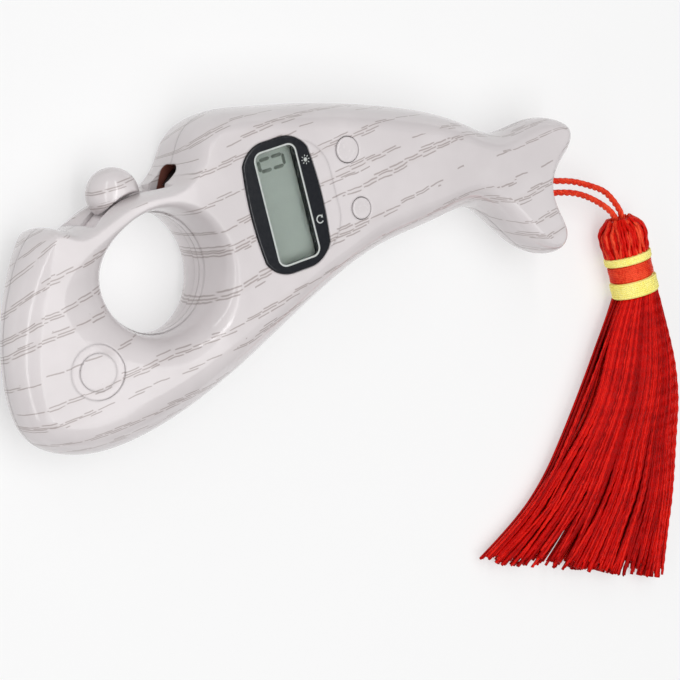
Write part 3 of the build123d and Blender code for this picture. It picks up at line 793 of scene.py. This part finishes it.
def yarn_line(edges, halves, aside, layer, clump, steps, rng):
    """Points down one yarn of the skirt. Some cross their neighbours, and the edge ones stand apart."""
    left, right = edges
    middle, cut = clump
    first, last = EDGE_YARNS
    at_edge = aside < first or aside > last
    pull = rng.uniform(*YARN_PULL)
    drift = rng.uniform(-YARN_DRIFT, YARN_DRIFT) if rng.random() < DRIFTING else 0.0
    end = 1 + cut + rng.uniform(*YARN_CUT)
    wave = rng.uniform(*YARN_WAVE)
    phase = rng.uniform(0, math.tau)
    points = []
    for step in range(steps + 1):
        share = end * step / steps
        gather = (middle - aside) * pull * share ** 1.5
        sway = wave * math.sin(phase + WAVE_RATE * share) * share
        spot = min(max(aside + gather + sway + drift * share ** 3, 0), 1)
        # The gap beside the yarns at the right edge is half as wide as the one at the left edge
        gap = EDGE_GAP * math.sin(math.pi * min(share / EDGE_GAP_END, 1)) ** 2
        spot = aside if at_edge else gap + (1 - gap - gap / 2) * spot
        half = at_share(halves, share).x
        crown = math.sqrt(1 - SKIRT_CROWN * (2 * spot - 1) ** 2) * layer
        flat = at_share(left, share).lerp(at_share(right, share), spot)
        points.append(flat + Vector((0, 0, TABLE + SKIRT_REST + half * (1 + crown))))
    return points


def add_skirt(*reds):
    """The tassel's yarns, fanned out on the table in loose clumps and cut uneven at the end."""
    sides_in_mm = [[(x, y, 0) for x, y in side] for side in (SKIRT_LEFT, SKIRT_RIGHT)]
    edges = [spline_points(side, SKIRT_STEPS) for side in sides_in_mm]
    halves = [Vector((h * MM, 0, 0)) for h in SKIRT_HALF_HEIGHTS]
    rng = random.Random(SKIRT_SEED)
    clumps = [(rng.random(), rng.uniform(*CLUMP_CUT)) for _ in range(CLUMPS)]
    mesh = Mesh()
    for number in range(SKIRT_YARNS):
        aside = (number + YARN_SHIFT * rng.random()) / SKIRT_YARNS
        which = number % len(LAYERS)
        layer = [rng.uniform(*span) for span in LAYERS][which]
        steps, sides, lay = TOP_YARN if which == TOP_LAYER else LOW_YARN
        clump = min(clumps, key=lambda c: abs(c[0] - aside))
        points = yarn_line(edges, halves, aside, layer, clump, steps, rng)
        full = YARN_RADIUS * rng.uniform(*YARN_FULLNESS)
        growth = [min(i / len(points) / NECK_END, 1) for i in range(len(points))]
        radii = [full * (NECK_FULLNESS + (1 - NECK_FULLNESS) * share) for share in growth]
        mesh.tube(points, radii, sides, rng.randrange(len(reds)), lay)
    piece = mesh.piece("tassel_threads", "silk_red", *reds)
    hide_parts("tassel_skirt")
    return piece


def flat_shape(mesh, low, high, outline, hole=None):
    """A thin raised shape between two heights, with or without a hole of as many points."""
    floor = mesh.ring([Vector((x, y, low)) for x, y in outline])
    top = mesh.ring([Vector((x, y, high)) for x, y in outline])
    mesh.band(floor, top)
    if hole:
        inner_floor = mesh.ring([Vector((x, y, low)) for x, y in hole])
        inner_top = mesh.ring([Vector((x, y, high)) for x, y in hole])
        mesh.band(top, inner_top)
        mesh.band(inner_top, inner_floor)
        mesh.band(inner_floor, floor)
    else:
        mesh.face(top)
        mesh.face(reversed(floor))


def on_circle(x, y, radius, turn):
    """A point on a circle about a point."""
    return x + radius * math.cos(turn), y + radius * math.sin(turn)


def rounded(x, y, width, length, radius, steps=CORNER_STEPS):
    """Outline of a rectangle with round corners about a point."""
    points = []
    for quarter, (side, end) in enumerate(((1, 1), (-1, 1), (-1, -1), (1, -1))):
        middle = x + side * (width / 2 - radius), y + end * (length / 2 - radius)
        turns = [math.pi / 2 * (quarter + k / steps) for k in range(steps + 1)]
        points += [on_circle(*middle, radius, turn) for turn in turns]
    return points


def segment(x, y, length, width, turn):
    """Outline of a display segment with pointed ends, turned about its middle."""
    half = length / 2
    slim = width / 2
    points = [(half, 0), (half - slim, slim), (slim - half, slim)]
    points += [(-a, -b) for a, b in points]
    cosine = math.cos(turn)
    sine = math.sin(turn)
    return [(x + a * cosine - b * sine, y + a * sine + b * cosine) for a, b in points]


def add_digit(material):
    """The nought on the display: the six outer segments of one figure, lying on its side."""
    low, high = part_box("lcd_panel")
    x = (low.x + high.x) / 2 + DIGIT_ASIDE
    y = high.y - DIGIT_FROM_END
    bar_length = DIGIT_TALL / 2 - DIGIT_STROKE / 2
    outlines = []
    for side in (-1, 1):
        outlines.append(segment(x + side * DIGIT_TALL / 2, y, DIGIT_WIDE, DIGIT_STROKE, math.pi / 2))
        for end in (-1, 1):
            middle = x + side * DIGIT_TALL / 4, y + end * DIGIT_WIDE / 2
            outlines.append(segment(*middle, bar_length, DIGIT_STROKE, 0))
    mesh = Mesh()
    for outline in outlines:
        flat_shape(mesh, high.z, high.z + PRINT_HEIGHT, outline)
    return mesh.piece("lcd_digit", "lcd_glass", material)


def about_hole(radius, degrees):
    """A place at a radius in mm and an angle about the finger hole."""
    return Matrix.Rotation(math.radians(degrees), 3, "Z") @ Vector((radius * MM, 0, 0))


def add_leaf(material):
    """The count leaf: a straight strip from its foot to its tip, with a pad at its foot."""
    low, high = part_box("count_leaf")
    foot = about_hole(*LEAF_FOOT)
    tip = about_hole(*LEAF_TIP)
    along = (tip - foot).normalized()
    thick = Vector((-along.y, along.x, 0)) * LEAF_THICKNESS / 2
    wide = Vector((0, 0, low.z))
    section = [thick + wide, thick - wide, -thick - wide, -thick + wide]
    mesh = Mesh()
    middles = [foot.lerp(tip, step / LEAF_STEPS) for step in range(LEAF_STEPS + 1)]
    mesh.skin([mesh.ring([middle + corner for corner in section]) for middle in middles])
    corner = LEAF_THICKNESS / 2
    pad = rounded(foot.x, foot.y, LEAF_FOOT_WIDTH, LEAF_FOOT_WIDTH, corner, LEAF_FOOT_CORNERS)
    flat_shape(mesh, low.z, high.z, pad)
    leaf = mesh.piece("leaf_spring", "spring_metal", material, body=None)
    leaf.data.shade_flat()
    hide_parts("count_leaf")
    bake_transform(leaf)


def lamp_sign(x, y):
    """Outlines of a lamp: a disc with rays round it."""
    outlines = [[on_circle(x, y, LAMP_RADIUS, math.tau * k / LAMP_SIDES) for k in range(LAMP_SIDES)]]
    for ray in range(LAMP_RAYS):
        turn = math.tau * ray / LAMP_RAYS
        outlines.append(segment(*on_circle(x, y, RAY_REACH, turn), RAY_LENGTH, RAY_WIDTH, turn))
    return outlines


def arrow_sign(x, y):
    """Outlines of a turning arrow: part of a ring, and the head at its start."""
    turns = [ARROW_START + ARROW_SWEEP * k / ARROW_STEPS for k in range(ARROW_STEPS + 1)]
    outside = [on_circle(x, y, ARROW_RADIUS + ARROW_HALF, turn) for turn in turns]
    inside = [on_circle(x, y, ARROW_RADIUS - ARROW_HALF, turn) for turn in turns]
    tip = on_circle(x, y, ARROW_RADIUS, ARROW_START - ARROW_TIP)
    barbs = [on_circle(x, y, ARROW_RADIUS + side * 3 * ARROW_HALF, ARROW_START) for side in (1, -1)]
    return [outside + inside[::-1], [tip] + barbs]


def add_bezel_marks(material):
    """The pale line round the window, and a lamp and a turning arrow as the two buttons' signs."""
    pane_low, pane_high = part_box("display_window")
    x = (pane_low.x + pane_high.x) / 2
    y = (pane_low.y + pane_high.y) / 2
    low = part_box("display_bezel")[1].z - PRINT_SINK
    high = low + PRINT_HEIGHT
    mesh = Mesh()
    grow = 2 * LINE_STROKE
    outer = rounded(x, y, LINE_WIDTH + grow, LINE_LENGTH + grow, LINE_CORNER + LINE_STROKE)
    flat_shape(mesh, low, high, outer, rounded(x, y, LINE_WIDTH, LINE_LENGTH, LINE_CORNER))
    signs = lamp_sign(x + SIGN_ASIDE, y + LAMP_ALONG) + arrow_sign(x + SIGN_ASIDE, y + ARROW_ALONG)
    for outline in signs:
        flat_shape(mesh, low, high, outline)
    return mesh.piece("bezel_marks", "button_white", material)


def add_light(name, aside, raised, width, height, power):
    """A soft light that stands upright in the picture and faces the part."""
    aside = math.radians(aside)
    raised = math.radians(raised)
    level = BACK * math.cos(aside) + RIGHT * math.sin(aside)
    towards = level * math.cos(raised) + UP * math.sin(raised)
    data = bpy.data.lights.new(name, "AREA")
    data.shape = "RECTANGLE"
    data.size = width
    data.size_y = height
    data.energy = power
    lamp = bpy.data.objects.new(name, data)
    across = UP.cross(towards).normalized()
    turn = Matrix((across, towards.cross(across), towards)).transposed().to_4x4()
    lamp.matrix_world = Matrix.Translation(RIGHT * LIGHT_AIM + towards * LIGHT_DISTANCE) @ turn
    bpy.context.scene.collection.objects.link(lamp)


def add_floor():
    """A plain pale floor that gives a little light of its own."""
    g = Graph("floor", 0.9, Specular_IOR_Level=0.1, Emission_Color=WHITE, Emission_Strength=FLOOR_GLOW)
    greys = [(grey, grey, grey, 1) for grey in FLOOR_GREYS]
    corners = [(x * FLOOR_REACH, y * FLOOR_REACH, 0) for x, y in ((-1, -1), (1, -1), (1, 1), (-1, 1))]
    mesh = bpy.data.meshes.new("floor")
    mesh.from_pydata(corners, [], [(0, 1, 2, 3)])
    mesh.materials.append(g.finish(g.blend(g.noise(g.place, scale=0.004), *greys)))
    floor = bpy.data.objects.new("floor", mesh)
    floor.location.z = TABLE - FLOOR_GAP
    bpy.context.scene.collection.objects.link(floor)


def add_studio():
    """The floor, the soft lights and an even surround."""
    add_floor()
    for name, settings in LIGHTS.items():
        add_light(name, *settings)
    world = bpy.data.worlds.new("studio")
    world.use_nodes = True
    background = world.node_tree.nodes["Background"].inputs
    background["Color"].default_value = WHITE
    background["Strength"].default_value = SURROUND_LIGHT
    bpy.context.scene.world = world
    bpy.context.scene.view_settings.view_transform = "Standard"


def dress(material, *names):
    """Gives CAD pieces their finish."""
    for name in names:
        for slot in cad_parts[name].material_slots:
            slot.material = material


def dress_case():
    """Finishes of the CAD pieces."""
    dress(printed_shell(), "front_shell", "rear_shell", "thumb_bead", "battery_door")
    dress(printed_slider(), "bead_slider")
    dress(plastic("bezel_black", BEZEL_BLACK, 0.14), "display_bezel")
    dress(clear_plastic("clear_pane", PANE_CLEAR, 0.02), "display_window")
    dress(plastic("lcd_glass", shade(157, 165, 158), 0.35), "lcd_panel")
    dress(plastic("button_white", shade(214, 208, 209), 0.25), "light_button", "reset_button")
    white = plastic("inner_white", shade(222, 222, 216), 0.5)
    dress(white, "lcd_frame", "backlight_lamp", "light_plunger", "reset_plunger")
    dress(plastic("board_green", shade(42, 105, 66), 0.45), "circuit_board")
    black = plastic("epoxy_black", shade(24, 24, 25), 0.25)
    dress(black, "controller_blob", "light_switch", "reset_switch")
    dress(plastic("zebra_rubber", shade(120, 120, 126), 0.7), "zebra_strips")
    dress(clear_plastic("guide_clear", GUIDE_CLEAR, 0.3), "light_guide")
    dress(metal("spring_metal", SPRING, 0.3), "count_contact", "cell_spring", "cell_rim_contact")
    dress(metal("cell_steel", shade(214, 214, 214), 0.22), "coin_cell")
    steel = metal("screw_steel", shade(196, 196, 198), 0.32)
    dress(steel, "battery_door_screw", "case_screws", "board_screws", "cord_pin")


def add_tassel():
    """The cord with the tassel on it."""
    orange_red = silk("cord_silk", shade(206, 34, 18), shade(242, 84, 52), 0.4)
    reds = [
        silk("red_silk", shade(164, 2, 0), shade(200, 8, 3), 0.42),
        silk("red_silk_deep", shade(136, 0, 0), shade(172, 2, 1), 0.48),
        silk("red_silk_pale", shade(188, 8, 4), shade(222, 28, 15), 0.38),
    ]
    yellow = silk("yellow_silk", shade(246, 232, 116), shade(254, 246, 158), 0.5)
    cord, route, length = add_cord(orange_red)
    pieces = [
        add_head(orange_red, reds[2], orange_red),
        add_binding("band_upper", "tassel_band_upper", BAND_THREAD, "silk_yellow", yellow),
        add_binding("band_wrap", "tassel_wrap", WRAP_THREAD, "silk_red", orange_red, WRAP_LAP),
        add_binding("band_lower", "tassel_band_lower", BAND_THREAD, "silk_yellow", yellow),
        add_skirt(*reds),
    ]


make_camera()
add_tassel()
dress_case()
add_digit(plastic("lcd_ink", shade(112, 120, 113), 0.5))
add_bezel_marks(plastic("pale_print", shade(200, 204, 201), 0.4))
add_leaf(metal("leaf_metal", SPRING, 0.3))
add_studio()
